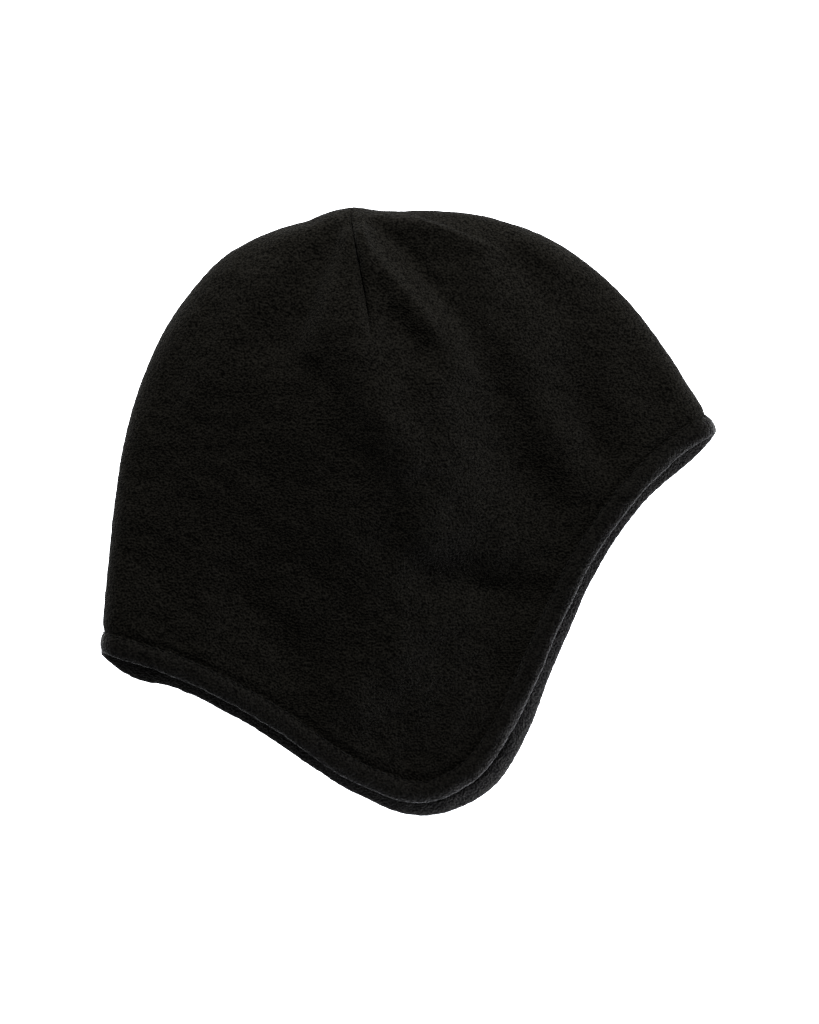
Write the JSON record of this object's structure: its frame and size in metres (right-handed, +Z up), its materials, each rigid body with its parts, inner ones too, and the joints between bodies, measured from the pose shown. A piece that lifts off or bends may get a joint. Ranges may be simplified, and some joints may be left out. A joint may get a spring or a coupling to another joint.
{
  "type": "earflap beanie",
  "caption": "Soft fleece beanie with ear flaps and a doubled, stitched hem, lying flat on its side.",
  "frame": {"origin": "on the surface that the hat lies on, under the middle of its outline", "axes": "+X towards the face, +Y towards the crown, +Z up, out of the wearer's right side"},
  "size_m": [0.258, 0.2548, 0.0366],
  "materials": {
    "fleece": "matt black pebbled fleece",
    "fleece_hem": "matt black fleece, doubled and stitched"
  },
  "bodies": {
    "root": {"crown": "fleece", "hem": "fleece_hem"}
  },
  "joints": []
}
